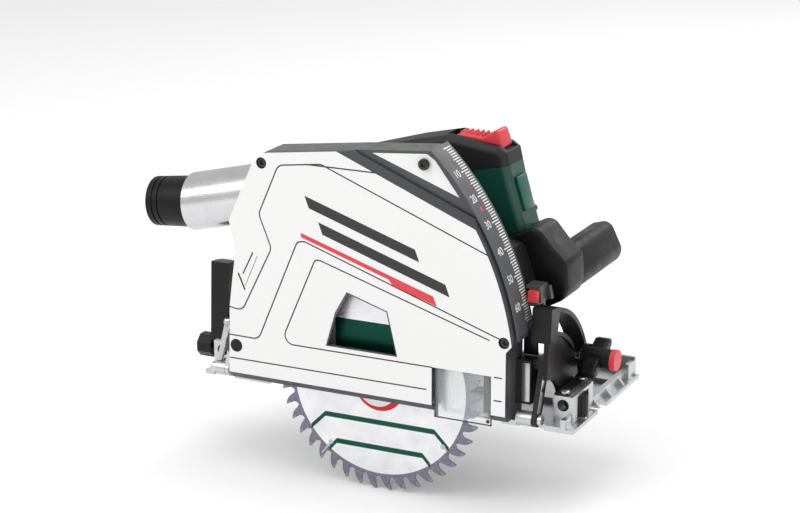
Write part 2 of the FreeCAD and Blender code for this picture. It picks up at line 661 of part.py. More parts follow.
GRIP = [
    (91, 128), (79, 166), (74, 187), (68, 191), (29, 196), (-2, 189), (-42, 177.5), (-84, 164), (-104, 151),
    (-112, 130), (-104, 104), (-82, 84), (-56, 70), (-30, 62), (14, 62), (50, 68), (80, 84), (91, 100),
]
FINGERS = [
    (-88, 130), (-78, 136), (-40, 143), (10, 152), (44, 158), (56, 150), (62, 128), (52, 108), (14, 98),
    (-60, 96),
    (-82, 106),
]
CORE = [
    (-92, 146), (-40, 162), (0, 176), (28, 184), (64, 180), (72, 160), (82, 126), (80, 100), (66, 96),
    (67, 128),
    (60, 154), (46, 163), (10, 157), (-40, 148), (-84, 140),
]


def handle_drills():
    """The bores that the handle's screws fill."""
    places = ((-98, 124), (84, 140), (84, 112))
    return [join(rod("y", (x, 13, z), 3, 8), rod("y", (x, -8, z), 1.4, 22)) for x, z in places]


def handle_shell(start):
    """Half of the moulded D-handle, from the middle plane outwards."""
    outer = prism("xz", GRIP, start, "handle_half")
    edge_y = start if start < 0 else size("handle_half")
    holes = prism("xz", FINGERS, start - 1, "handle_half + 2")
    core = prism("xz", CORE, start + 2.5 if start < 0 else -1, "handle_half - 1.5")
    motor = rod("y", (MOTOR[0], start - 1, MOTOR[1]), "motor_radius", "handle_half + 2")
    round_outer = soften(cut(outer, holes), 6, lambda e: abs(mid(e).y - edge_y) < 0.01)
    tools = [core, motor, rod("x", (-130, 0, 136), 7, 22)] + handle_drills()
    tools += [rod("y", (-58, 13, 83), 2.05, 5), box((4, -6.6, 130), (40, 13.2, 36)),
              box((24, -9.6, 187.5), (54, 19.2, 12))]
    return cut(round_outer, *tools)


def front_handle():
    """The angular front grip: a root on the gear lid and a bar that reaches over the motor side."""
    root = prism("xz", [
        (92, 90), (92.6, 133.5), (100.8, 137.8), (106.8, 136.6), (118, 123.6), (128.2, 114.6),
        (130.2, 95.3), (126.7, 86.2), (112.5, 78.3), (100, 80),
    ], -29.5, 35)
    bar = prism("xz", [
        (99, 106), (106, 115), (117.5, 118), (122.5, 115), (130.5, 98.5), (130, 92.5), (126.5, 87.5),
        (114, 82), (106, 84), (98, 98),
    ], 5.5, 76.5)
    return join(root, bar)


def trigger():
    """The switch trigger, a curved paddle under the grip."""
    profile = [(6, 141), (14, 144), (24, 144.5), (34, 143), (42, 141), (42, 158), (40, 161), (8, 161),
               (6, 158)]
    return soften(prism("xz", profile, -6, 12), 2.5,
                  lambda e: mid(e).z < 146 and abs(abs(mid(e).y) - 6) < 0.01)


def lockoff_slider():
    """The lock-off slide on top of the handle, with a horn to push against."""
    profile = [
        (29, 188), (69, 188), (69, 191), (65, 201.4), (62.4, 201.6), (53, 195.4), (34, 196.6), (29, 193),
    ]
    return soften(prism("xz", profile, -9, 18), 2,
                  lambda e: mid(e).z > 193 and abs(abs(mid(e).y) - 9) < 0.01)


def stator():
    """The motor's laminated field ring."""
    core = cut(rod("y", (MOTOR[0], -14, MOTOR[1]), "motor_radius - 2.5", 44),
               rod("y", (MOTOR[0], -15, MOTOR[1]), 20, 46))
    coils = cut(rod("y", (MOTOR[0], -17.5, MOTOR[1]), 30, 55), rod("y", (MOTOR[0], -23, MOTOR[1]), 22, 62))
    return join(core, coils)


def rotor_core():
    """The armature: laminations and commutator."""
    y = -14
    parts = [rod("y", (MOTOR[0], y, MOTOR[1]), 19, 44), rod("y", (MOTOR[0], 42, MOTOR[1]), 11, 16)]
    parts.append(rod("y", (MOTOR[0], 30, MOTOR[1]), 13, 12))
    ring_of_slots = [polar(MOTOR, 18.6, 30 * k) for k in range(12)]
    slots = [rod("y", (x, y - 1, z), 1.4, 46) for x, z in ring_of_slots]
    return cut(join(*parts), rod("y", (MOTOR[0], -20, MOTOR[1]), 4, 90), *slots)


def fan():
    """The cooling fan behind the front bearing."""
    blades = []
    for k in range(12):
        blade = Part.makeBox(17, 7, 1.2, Vector(12, -25.5, -0.6))
        blade.rotate(Vector(), Vector(0, 1, 0), 30 * k)
        blade.translate(Vector(MOTOR[0], 0, MOTOR[1]))
        blades.append(blade)
    disc = Part.makeCylinder(29, 1.5, Vector(MOTOR[0], -26.5, MOTOR[1]), Vector(0, 1, 0))
    hub = Part.makeCylinder(14, 6, Vector(MOTOR[0], -26.5, MOTOR[1]), Vector(0, 1, 0))
    whole = disc.fuse([hub] + blades)
    bore = Part.makeCylinder(4, 20, Vector(MOTOR[0], -30, MOTOR[1]), Vector(0, 1, 0))
    inner = Part.makeCylinder(21.7, 3.5, Vector(MOTOR[0], -22.2, MOTOR[1]), Vector(0, 1, 0))
    return shaped(whole.cut([bore, inner]).removeSplitter())


def washer(x, z, y, outer, inner, width):
    """A plain ring about an axle along y."""
    return cut(rod("y", (x, y, z), outer, width), rod("y", (x, f"{y} - 1", z), inner, width + 2))


def return_spring():
    """The torsion spring round the pivot that lifts the saw."""
    coil = Part.makeHelix(2.2, 8.8, 7.6)
    profile = Part.Wire(Part.Circle(Vector(7.6, 0, 0), Vector(0, 1, 0), 0.9).toShape())
    solid = Part.Wire(coil).makePipeShell([profile], True, True)
    solid.rotate(Vector(), Vector(1, 0, 0), -90)
    solid.translate(Vector(-size("pivot_back"), -64.5, size("pivot_height")))
    return shaped(solid)


def depth_stop():
    """The depth stop's carriage: a jaw at the scale's edge with a pocket for the button, and a thumb tab."""
    jaw = prism("xz", [
        (111.7, 88), (117.6, 88), (117.6, 91.4), (120.6, 91.4), (119.5, 103), (108.4, 103),
    ], -56, 14)
    tab = prism("xz", [
        (112.9, 83), (117.6, 83), (117.6, 91.4), (124, 91.4), (122, 101), (113.4, 99),
    ], -44.5, 4)
    return cut(join(jaw, tab), box((105, -57, 92.2), (14.5, 11, 8.6)))


def chip_guard():
    """The clear chip guard in front of the blade: a thin tray that slides up when it meets the work."""
    face = prism("xz", [(49, 2), (94.4, 2), (94.4, 46), (49, 46)], -82.2, 1.5)
    sill = box((49, -80.7, 2), (45.4, 1.4, 1.6))
    ribs = [box((x, -80.7, 2), (1.6, 1.4, 38)) for x in (49, 92.8)]
    return cut(join(face, sill, *ribs), rod("y", (90, -84, 8), 1.6, 10))


def put_sleeve(item, along):
    """Puts an item on the sleeve's axis, so many millimetres out from the elbow's end."""
    droop = math.radians(size("sleeve_droop"))
    x, z = -161 - along * math.cos(droop), 134.5 - along * math.sin(droop)
    turn = Rotation(Vector(0, 1, 0), 270 - size("sleeve_droop"))
    item.Placement = Placement(Vector(x, size("port_line"), z), turn)
    return item


def dust_elbow():
    """The metal outlet: a wide stub on the guard's rear wall and a spigot at the sleeve's slope."""
    pipe = port_tube(size("port_radius"), 16.5, -12, 84)
    beyond = put_sleeve(shaped(Part.makeBox(120, 120, 60, Vector(-60, -60, 0))), 0)
    trims = [prism("xz", COVER, "face", "cover_depth"), prism("xz", HOUSING, BACK, "guard_width")]
    stub = cut(pipe, beyond, *trims)
    spigot = Part.makeCylinder(16, 12).cut(Part.makeCylinder(14, 12))
    inner = Part.makeCylinder(17.5, 6, Vector(0, 0, -6)).cut(Part.makeCylinder(14, 6, Vector(0, 0, -6)))
    return join(stub, put_sleeve(shaped(spigot.fuse(inner)), 0))


def dust_sleeve():
    """The rubber sleeve that swivels on the outlet's spigot."""
    tube = Part.makeCone(19.6, 18.9, 33).fuse(Part.makeCylinder(20.3, 2.5))
    tube = tube.cut([Part.makeCylinder(16.06, 12.4), Part.makeCylinder(17.2, 40, Vector(0, 0, 12.3))])
    for at in (22, 27):
        tube = tube.cut(Part.makeCylinder(22, 1.4, Vector(0, 0, at)).cut(
            Part.makeCylinder(18.3, 1.4, Vector(0, 0, at))))
    return put_sleeve(shaped(tube), 0.3)


# ---------------------------------------------------------------- the assembly

node("base_plate", base_plate())
node("hinge_knuckles", hinge_knuckles())
node("hinge_pins", hinge_pins())
node("front_quadrant", quadrant(118, 127.8, 57))
node("rear_quadrant", quadrant(-146, -134.5, 22))
node("front_rod_block", rod_block(131.5, 1))
node("rear_rod_block", rod_block(-151, -1))
node("rod_wheel", ribbed_wheel())
node("rod_block_screws", group(*[
    cut(join(rod("z", (139, y, 23.5), 3.4, 2.2), rod("z", (139, y, 21.1), 1.4, 3)),
        rod("z", (139, y, 24.7), 1.2, 2))
    for y in (-52.5, -19.5)]))
rear_screw = join(rod("x", (-163, -48, 16.5), 2.5, 14.8), prism("yz", [
    polar((-48, 16.5), 9.5, 45 * k + 22.5) for k in range(8)], -166, 12))
node("rear_rod_knob", rear_screw)

node("blade_cover", blade_cover())
node("guard_housing", guard_housing())
node("depth_scale", depth_scale())
node("cover_screws", cover_screws())
node("pivot_shaft", rod("y", ("-pivot_back", "face - 0.2", "pivot_height"), 5, 61))
node("return_spring", return_spring())
node("front_guard_arm", guard_arm(114.3, 122.3, 106, 117.7))
rear_arm = guard_arm(-130.8, -130.8, -130.8, -118)
node("rear_guard_arm", cut(rear_arm, prism("xz", HOUSING, BACK, "guard_width"),
                           rod("y", (PIVOT[0], -67, PIVOT[1]), 9, 14)))
node("clamp_studs", clamp_studs())
STUD = polar((size("hinge_line"), size("hinge_height")), size("bolt_orbit"), size("bolt_angle"))
node("front_wing_knob", wing_knob(134.7, *STUD, 1, 20, 3.03))
node("front_knob_cap", rod("x", (156.7, *STUD), 8, 4))
node("rear_wing_knob", wing_knob(-147.7, *STUD, -1, 20, 3.03))
node("dust_elbow", dust_elbow())
node("dust_sleeve", dust_sleeve())
node("chip_guard", chip_guard())
node("depth_stop", depth_stop())
node("depth_stop_button", box((112.2, -61, 92.5), (7, 11, 8)))

node("gear_housing", gear_housing())
node("gear_cover", gear_cover())
node("motor_housing", motor_housing())
node("motor_cap", motor_cap())
node("handle_left", handle_shell(-17))
node("handle_right", handle_shell(0))
node("handle_screws", group(*[join(rod("y", (x, 13, z), 3, 3), rod("y", (x, -8, z), 1.4, 22))
                              for x, z in ((-98, 124), (84, 140), (84, 112))]))
node("front_handle", front_handle())
node("switch_module", box((12, -10, 167), (32, 20, 12)))
node("control_board", box((69, -12, 100), (9, 24, 26)))
node("cable_gland", cut(rod("x", (-128, 0, 136), 7, 20), rod("x", (-129, 0, 136), 3.5, 22)))
node("stator", stator())
node("brush_holders", group(*[box((MOTOR[0] + x, 46, MOTOR[1] - 4), (19, 8, 8)) for x in (11.5, -30.5)]))
node("bearings", group(
    washer(0, AXLE_Z, -54, 7.95, 5.1, 4), washer(0, AXLE_Z, -33.4, 5.95, 4.1, 2.4),
    washer(MOTOR[0], MOTOR[1], -33, 10.9, 4.05, 5), washer(MOTOR[0], MOTOR[1], 62, 9.5, 4.05, 5)))
node("rear_bearing_plate", cut(rod("y", (MOTOR[0], 61, MOTOR[1]), "motor_radius - 2.5", 6.5),
                               rod("y", (MOTOR[0], 60, MOTOR[1]), 9.6, 10),
                               box((MOTOR[0] - 20, 60, MOTOR[1] + 12), (40, 10, 8)),
                               box((MOTOR[0] - 20, 60, MOTOR[1] - 20), (40, 10, 8))))
node("idler_pin", rod("y", (IDLER[0], -52, IDLER[1]), 2.95, 21))

node("saw_blade", saw_blade())
node("carbide_tips", carbide_tips())
spindle_steps = ((-74, 5, 24), (-50, 6.5, 16.4), (-33.6, 4, 2.6))
node("spindle", join(*[rod("y", (0, y, AXLE_Z), radius, long) for y, radius, long in spindle_steps]))
node("inner_flange", cut(join(rod("y", (0, -72.4, AXLE_Z), 20, 4), rod("y", (0, -68.4, AXLE_Z), 10, 6)),
                         rod("y", (0, -76, AXLE_Z), 5, 20)))
node("outer_flange", cut(join(rod("y", (0, -77.6, AXLE_Z), 16, 4), rod("y", (0, -73.6, AXLE_Z), 9.9, 1.2)),
                         rod("y", (0, -79, AXLE_Z), 5, 10)))
node("blade_screw",
     cut(join(rod("y", (0, -80.4, AXLE_Z), 6.5, 2.8), rod("y", (0, -77.6, AXLE_Z), 4.9, 3.6)),
                        prism("xz", [polar((0, AXLE), 3, 60 * k) for k in range(6)], -82, 4)))
node("spindle_gear", gear(26, 0, AXLE, -48, 9, 6.5))
node("idler_gear", gear(25, *IDLER, -48, 9, 3.02, IDLER_PHASE))
node("motor_shaft", rod("y", (MOTOR[0], -51, MOTOR[1]), 4, 120))
node("pinion", gear(13, *MOTOR, -48, 12, 4, mesh_phase(IDLER, 25, IDLER_PHASE, MOTOR, 13)))
node("rotor_core", rotor_core())
node("fan", fan())
node("lockoff_slider", lockoff_slider())
node("trigger", trigger())
node("spindle_lock", rod("y", (-22, -53, 74), 4, 6))
node("speed_dial", join(rod("y", (-58, 17.1, 83), 8, 4), rod("y", (-58, 13.3, 83), 2, 4)))

doc.recompute()
os.makedirs("parts", exist_ok=True)
broken = [o.Name for o in doc.Objects if "Invalid" in o.State or "Error" in o.State]
if broken:
    raise RuntimeError(f"features that failed: {broken}")
for name, item in nodes.items():
    if item.Shape.isNull() or not item.Shape.isValid() or not item.Shape.Solids:
        raise RuntimeError(f"{name} has no valid solid")
    item.Shape.exportStep(f"parts/{name}.step")
    print(name, len(item.Shape.Solids), round(item.Shape.Volume, 1))
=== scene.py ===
"""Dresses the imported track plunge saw: finishes, fine surface detail, studio light and camera."""

from __future__ import annotations

import json
import logging
import math
from dataclasses import dataclass
from enum import Enum
from typing import Protocol, Sequence

import bpy
from mathutils import Matrix, Vector

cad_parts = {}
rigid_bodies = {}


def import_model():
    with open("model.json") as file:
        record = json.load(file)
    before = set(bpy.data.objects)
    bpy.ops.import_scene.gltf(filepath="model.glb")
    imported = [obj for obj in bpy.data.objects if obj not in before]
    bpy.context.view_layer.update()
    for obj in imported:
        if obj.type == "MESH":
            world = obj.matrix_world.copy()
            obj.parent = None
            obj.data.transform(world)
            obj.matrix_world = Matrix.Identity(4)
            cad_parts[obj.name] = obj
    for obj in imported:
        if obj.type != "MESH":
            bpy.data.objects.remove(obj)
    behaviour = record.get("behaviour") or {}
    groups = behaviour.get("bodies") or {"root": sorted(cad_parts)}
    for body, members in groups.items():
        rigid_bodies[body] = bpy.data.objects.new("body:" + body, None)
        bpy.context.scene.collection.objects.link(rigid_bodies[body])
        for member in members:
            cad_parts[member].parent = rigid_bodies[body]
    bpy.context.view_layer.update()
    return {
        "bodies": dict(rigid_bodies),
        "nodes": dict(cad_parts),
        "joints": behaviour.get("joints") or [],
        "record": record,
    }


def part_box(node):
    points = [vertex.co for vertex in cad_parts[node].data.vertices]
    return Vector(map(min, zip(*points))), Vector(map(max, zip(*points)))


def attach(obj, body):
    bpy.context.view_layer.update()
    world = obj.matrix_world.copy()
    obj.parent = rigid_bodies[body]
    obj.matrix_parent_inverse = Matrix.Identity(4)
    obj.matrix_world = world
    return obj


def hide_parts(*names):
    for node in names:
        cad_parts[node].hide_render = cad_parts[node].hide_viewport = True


log = logging.getLogger("plunge_saw")

MM = 0.001
MERGE_REACH = 1e-6
BEVEL_ANGLE = math.radians(28)
SMOOTH_ANGLE = math.radians(35)
NOISE_BAND = (0.3, 0.7)
GRAIN_DEPTH = 0.0002

Point2 = tuple[float, float]
Point3 = tuple[float, float, float]
Colour = tuple[float, float, float]

DEEP_BLACK: Colour = (0.0035, 0.0035, 0.0038)
DEEP_GREEN: Colour = (0.004, 0.062, 0.040)


class Plane(Enum):
    """The plane that a flat outline is drawn in."""

    XZ = "xz"
    YZ = "yz"
    XY = "xy"

    def lift(self, a: float, b: float, depth: float) -> Vector:
        """Turns an outline's two numbers and a depth into a point.

        Args:
            a: The outline's first number.
            b: The outline's second number.
            depth: The distance along the plane's normal.

        Returns:
            The point in space.
        """
        if self is Plane.XZ:
            return Vector((a, depth, b))
        if self is Plane.YZ:
            return Vector((depth, a, b))
        return Vector((a, b, depth))

    def normal(self) -> Vector:
        """The direction that depth runs in."""
        return self.lift(0.0, 0.0, 1.0)


# ---------------------------------------------------------------- finishes


class Graph:
    """Makes one material's shader nodes easy to write and to read."""

    def __init__(self, name: str) -> None:
        """Starts a material that holds one Principled shader.

        Args:
            name: The material's name.
        """
        self.material = bpy.data.materials.new(name)
        self.material.use_nodes = True
        self.nodes = self.material.node_tree.nodes
        self.links = self.material.node_tree.links
        self.shader = self.nodes["Principled BSDF"]
        self.place = self.nodes.new("ShaderNodeTexCoord").outputs["Object"]

    def set(self, **values: float | Colour) -> None:
        """Sets constants straight on the shader's sockets.

        Args:
            values: A value for each socket; an underscore in its name stands for a space.
        """
        for key, value in values.items():
            socket = self.shader.inputs[key.replace("_", " ")]
            socket.default_value = (*value, 1.0) if isinstance(value, tuple) else value

    def feed(self, socket: str, source: bpy.types.NodeSocket) -> None:
        """Links a varying value to one of the shader's sockets.

        Args:
            socket: The shader socket's name.
            source: The value to link.
        """
        self.links.new(source, self.shader.inputs[socket])

    def stretched(self, scale: Point3) -> bpy.types.NodeSocket:
        """The object's coordinates, stretched along each axis.

        Args:
            scale: The factor for each axis.

        Returns:
            The stretched coordinates.
        """
        node = self.nodes.new("ShaderNodeMapping")
        node.inputs["Scale"].default_value = scale
        self.links.new(self.place, node.inputs["Vector"])
        return node.outputs["Vector"]

    def noise(self, scale: float, detail: float = 3.0,
              at: bpy.types.NodeSocket | None = None) -> bpy.types.NodeSocket:
        """A noise value over the object.

        Args:
            scale: How fine the noise is.
            detail: How many octaves it has.
            at: The coordinates to read it at, or the object's own.

        Returns:
            The noise value.
        """
        node = self.nodes.new("ShaderNodeTexNoise")
        node.inputs["Scale"].default_value = scale
        node.inputs["Detail"].default_value = detail
        self.links.new(at or self.place, node.inputs["Vector"])
        return node.outputs["Fac"]

    def rings(self, scale: float, radius: bpy.types.NodeSocket) -> bpy.types.NodeSocket:
        """A noise value that changes with the radius alone, like the lines of a ground face.

        Args:
            scale: How fine the rings are.
            radius: The distance from the axle.

        Returns:
            The noise value.
        """
        node = self.nodes.new("ShaderNodeTexNoise")
        node.noise_dimensions = "1D"
        node.inputs["Scale"].default_value = scale
        self.links.new(radius, node.inputs["W"])
        return node.outputs["Fac"]

    def axis(self, name: str) -> bpy.types.NodeSocket:
        """One of the object coordinates, in metres.

        Args:
            name: X, Y or Z.

        Returns:
            The coordinate.
        """
        node = self.nodes.new("ShaderNodeSeparateXYZ")
        self.links.new(self.place, node.inputs[0])
        return node.outputs[name]

    def maths(self, kind: str, *values: float | bpy.types.NodeSocket) -> bpy.types.NodeSocket:
        """A math node fed with numbers and sockets.

        Args:
            kind: The node's operation.
            values: What goes into it, in order.

        Returns:
            The result.
        """
        node = self.nodes.new("ShaderNodeMath")
        node.operation = kind
        for slot, value in zip(node.inputs, values):
            if isinstance(value, (int, float)):
                slot.default_value = value
            else:
                self.links.new(value, slot)
        return node.outputs[0]

    def spread(self, source: bpy.types.NodeSocket, reach: tuple[float, float],
               band: tuple[float, float] = NOISE_BAND) -> bpy.types.NodeSocket:
        """Stretches a value from one band to another.

        Args:
            source: The value to stretch.
            reach: The lowest and highest result.
            band: The lowest and highest value that comes in.

        Returns:
            The stretched value.
        """
        node = self.nodes.new("ShaderNodeMapRange")
        for slot, value in zip(("From Min", "From Max", "To Min", "To Max"), (*band, *reach)):
            node.inputs[slot].default_value = value
        self.links.new(source, node.inputs["Value"])
        return node.outputs["Result"]

    def blend(self, mask: bpy.types.NodeSocket, first: Colour | bpy.types.NodeSocket,
              second: Colour | bpy.types.NodeSocket) -> bpy.types.NodeSocket:
        """Mixes two colours by a mask.

        Args:
            mask: Nought for the first colour and one for the second.
            first: The first colour.
            second: The second colour.

        Returns:
            The mixed colour.
        """
        node = self.nodes.new("ShaderNodeMix")
        node.data_type = "RGBA"
        self.links.new(mask, node.inputs[0])
        for slot, value in ((6, first), (7, second)):
            if isinstance(value, tuple):
                node.inputs[slot].default_value = (*value, 1.0)
            else:
                self.links.new(value, node.inputs[slot])
        return node.outputs[2]

    def bump(self, height: bpy.types.NodeSocket, strength: float, distance: float = GRAIN_DEPTH) -> None:
        """Raises the surface by a height field.

        Args:
            height: The height field.
            strength: How much of it shows.
            distance: How high it stands, in metres.
        """
        node = self.nodes.new("ShaderNodeBump")
        node.inputs["Strength"].default_value = strength
        node.inputs["Distance"].default_value = distance
        self.links.new(height, node.inputs["Height"])
        self.feed("Normal", node.outputs["Normal"])


class Finish(Protocol):
    """Anything that can build one material."""

    name: str

    def make(self) -> bpy.types.Material:
        """Builds the material."""


@dataclass(frozen=True)
class Plastic:
    """Moulded plastic or rubber with a spark-eroded grain and slightly uneven gloss."""

    name: str
    colour: Colour
    rough: float = 0.45
    grain: float = 2600.0
    relief: float = 0.12
    gloss: float = 0.5

    def make(self) -> bpy.types.Material:
        """Builds the material."""
        g = Graph(self.name)
        g.set(Specular_IOR_Level=self.gloss)
        tint = tuple(min(1.0, part * 1.1 + 0.001) for part in self.colour)
        cloud = g.spread(g.noise(38.0, 4.0), (0.0, 0.6), (0.3, 0.8))
        g.feed("Base Color", g.blend(cloud, self.colour, tint))
        g.feed("Roughness", g.spread(g.noise(90.0, 5.0), (self.rough - 0.06, self.rough + 0.08)))
        g.bump(g.noise(self.grain, 2.0), self.relief)
        return g.material


@dataclass(frozen=True)
class Metal:
    """Bare metal: cast with a pebbled skin, or drawn with fine lines along one axis."""

    name: str
    colour: Colour
    rough: float = 0.32
    lines: Point3 = (1.0, 1.0, 1.0)
    grain: float = 420.0
    relief: float = 0.1

    def make(self) -> bpy.types.Material:
        """Builds the material."""
        g = Graph(self.name)
        g.set(Metallic=1.0)
        dark = tuple(part * 0.92 for part in self.colour)
        cloud = g.spread(g.noise(60.0, 5.0), (0.0, 1.0), (0.35, 0.7))
        g.feed("Base Color", g.blend(cloud, self.colour, dark))
        fine = g.noise(self.grain, 3.0, g.stretched(self.lines))
        g.feed("Roughness", g.spread(fine, (self.rough - 0.04, self.rough + 0.06)))
        g.bump(fine, self.relief)
        return g.material


@dataclass(frozen=True)
class ClearPlastic:
    """Clear moulded plastic."""

    name: str
    rough: float = 0.06

    def make(self) -> bpy.types.Material:
        """Builds the material."""
        g = Graph(self.name)
        g.set(Base_Color=(0.93, 0.95, 0.96), IOR=1.35, Alpha=0.13, Specular_IOR_Level=0.7)
        g.feed("Roughness", g.spread(g.noise(70.0, 3.0), (self.rough, self.rough + 0.1), (0.0, 1.0)))
        return g.material


@dataclass(frozen=True)
class CoverSkin:
    """White paint on the cover's face and its upper panel; painted shade, a near-black colour, on every
    surface set back from the face, such as the grooves and steps.
    """

    name: str = "cover_skin"
    face: float = -0.085
    face_reach: float = 0.0004
    white: Colour = (0.80, 0.80, 0.795)
    # Painted shade: the near-black colour of the grooves, steps and other surfaces set back from the face.
    dark: Colour = (0.040, 0.041, 0.044)
    dark_rough: float = 0.42
    paint_gloss: float = 0.1
    panel: tuple[Point2, ...] = ((0.004, 0.1955), (0.041, 0.198), (0.0485, 0.194), (0.0685, 0.1715))

    def inside(self, g: Graph) -> bpy.types.NodeSocket:
        """A mask for the upper panel.

        Args:
            g: The material's graph.

        Returns:
            One inside the panel's outline and nought outside.
        """
        x, z = g.axis("X"), g.axis("Z")
        mask: bpy.types.NodeSocket | float = 1.0
        for (ax, az), (bx, bz) in zip(self.panel, self.panel[1:] + self.panel[:1]):
            reach = g.maths("MULTIPLY", g.maths("SUBTRACT", x, ax), bz - az)
            rise = g.maths("MULTIPLY", g.maths("SUBTRACT", z, az), bx - ax)
            side = g.maths("GREATER_THAN", g.maths("SUBTRACT", reach, rise), 0.0)
            mask = g.maths("MULTIPLY", mask, side)
        return mask

    def make(self) -> bpy.types.Material:
        """Builds the material."""
        g = Graph(self.name)
        proud = g.maths("LESS_THAN", g.axis("Y"), self.face + self.face_reach)
        # White on the face and the upper panel, painted shade on everything set back from the face.
        paint = g.maths("MAXIMUM", proud, self.inside(g))
        g.feed("Base Color", g.blend(paint, self.dark, self.white))
        base = g.maths("SUBTRACT", self.dark_rough, g.maths("MULTIPLY", paint, self.paint_gloss))
        wear = g.spread(g.noise(80.0, 5.0), (-0.04, 0.06))
        g.feed("Roughness", g.maths("ADD", wear, base))
        g.bump(g.noise(1500.0, 2.0), 0.05)
        return g.material


@dataclass(frozen=True)
class BladePrint:
    """The saw blade: ground body, coated rim, printed ring, chevron bars and a band about its axle."""

    name: str = "blade_print"
    axle: Point2 = (0.0, 0.0165)
    rim: float = 0.0703
    ring: tuple[float, float] = (0.0162, 0.0207)
    bar: float = 0.0040
    chevrons: tuple[tuple[float, float, float, float], ...] = (
        (-0.0280, 0.045, 1.0, 0.057), (-0.0482, 0.0355, 1.1, 0.042))
    stripe: tuple[float, float] = (0.0215, 0.0475)
    stripe_half: float = 0.036
    ground: tuple[Colour, Colour] = ((0.88, 0.88, 0.89), (0.74, 0.74, 0.76))
    coating: tuple[Colour, Colour] = ((0.235, 0.225, 0.29), (0.16, 0.155, 0.20))
    ring_red: Colour = (0.55, 0.035, 0.05)
    bar_green: Colour = (0.010, 0.085, 0.050)
    stripe_green: Colour = (0.004, 0.060, 0.038)

    def within(self, g: Graph, value: bpy.types.NodeSocket,
               band: tuple[float, float]) -> bpy.types.NodeSocket:
        """A mask for a band of values.

        Args:
            g: The material's graph.
            value: The value to test.
            band: The lowest and highest value of the band.

        Returns:
            One inside the band and nought outside.
        """
        low, high = band
        return g.maths("MULTIPLY", g.maths("GREATER_THAN", value, low), g.maths("LESS_THAN", value, high))

    def make(self) -> bpy.types.Material:
        """Builds the material."""
        g = Graph(self.name)
        g.set(Metallic=0.85)
        across = g.maths("SUBTRACT", g.axis("X"), self.axle[0])
        up = g.maths("SUBTRACT", g.axis("Z"), self.axle[1])
        square = g.maths("ADD", g.maths("MULTIPLY", across, across), g.maths("MULTIPLY", up, up))
        radius = g.maths("SQRT", square)
        body = g.blend(g.spread(g.noise(70.0, 6.0), (0.0, 1.0), (0.3, 0.75)), *self.ground)
        coat = g.blend(g.spread(g.noise(420.0, 2.0), (0.0, 1.0)), *self.coating)
        colour = g.blend(g.maths("GREATER_THAN", radius, self.rim), body, coat)
        colour = g.blend(self.within(g, radius, self.ring), colour, self.ring_red)
        wide = g.maths("ABSOLUTE", across)
        for level, flat, slope, reach in self.chevrons:
            drop = g.maths("MULTIPLY", g.maths("MAXIMUM", g.maths("SUBTRACT", wide, flat), 0.0), slope)
            bar = self.within(g, g.maths("ADD", up, drop), (level - self.bar, level))
            bar = g.maths("MULTIPLY", bar, g.maths("LESS_THAN", wide, reach))
            colour = g.blend(bar, colour, self.bar_green)
        short = g.maths("LESS_THAN", wide, self.stripe_half)
        stripe = g.maths("MULTIPLY", self.within(g, up, self.stripe), short)
        g.feed("Base Color", g.blend(stripe, colour, self.stripe_green))
        rings = g.rings(2600.0, radius)
        g.feed("Roughness", g.spread(rings, (0.26, 0.44)))
        g.bump(rings, 0.05, 0.0001)
        return g.material


@dataclass(frozen=True)
class TwoShot:
    """Green hard plastic with black soft overmould, parted along the handle's seams."""

    name: str = "two_shot"
    green: Colour = DEEP_GREEN
    black: Colour = DEEP_BLACK
    column: float = 0.0500
    seam_slope: float = 0.21
    seam_height: float = 0.1615
    foot: float = 0.099
    soft_rough: float = 0.55
    hard_gloss: float = 0.2

    def make(self) -> bpy.types.Material:
        """Builds the material."""
        g = Graph(self.name)
        x, z = g.axis("X"), g.axis("Z")
        front = g.maths("GREATER_THAN", x, self.column)
        level = g.maths("SUBTRACT", z, g.maths("MULTIPLY", x, self.seam_slope))
        below = g.maths("LESS_THAN", level, self.seam_height)
        foot = g.maths("LESS_THAN", z, self.foot)
        hard = g.maths("MAXIMUM", g.maths("MULTIPLY", front, below), foot)
        g.feed("Base Color", g.blend(hard, self.black, self.green))
        smoother = g.maths("MULTIPLY", hard, self.hard_gloss)
        g.feed("Roughness", g.maths("SUBTRACT", self.soft_rough, smoother))
        g.bump(g.noise(2400.0, 2.0), 0.16)
        return g.material


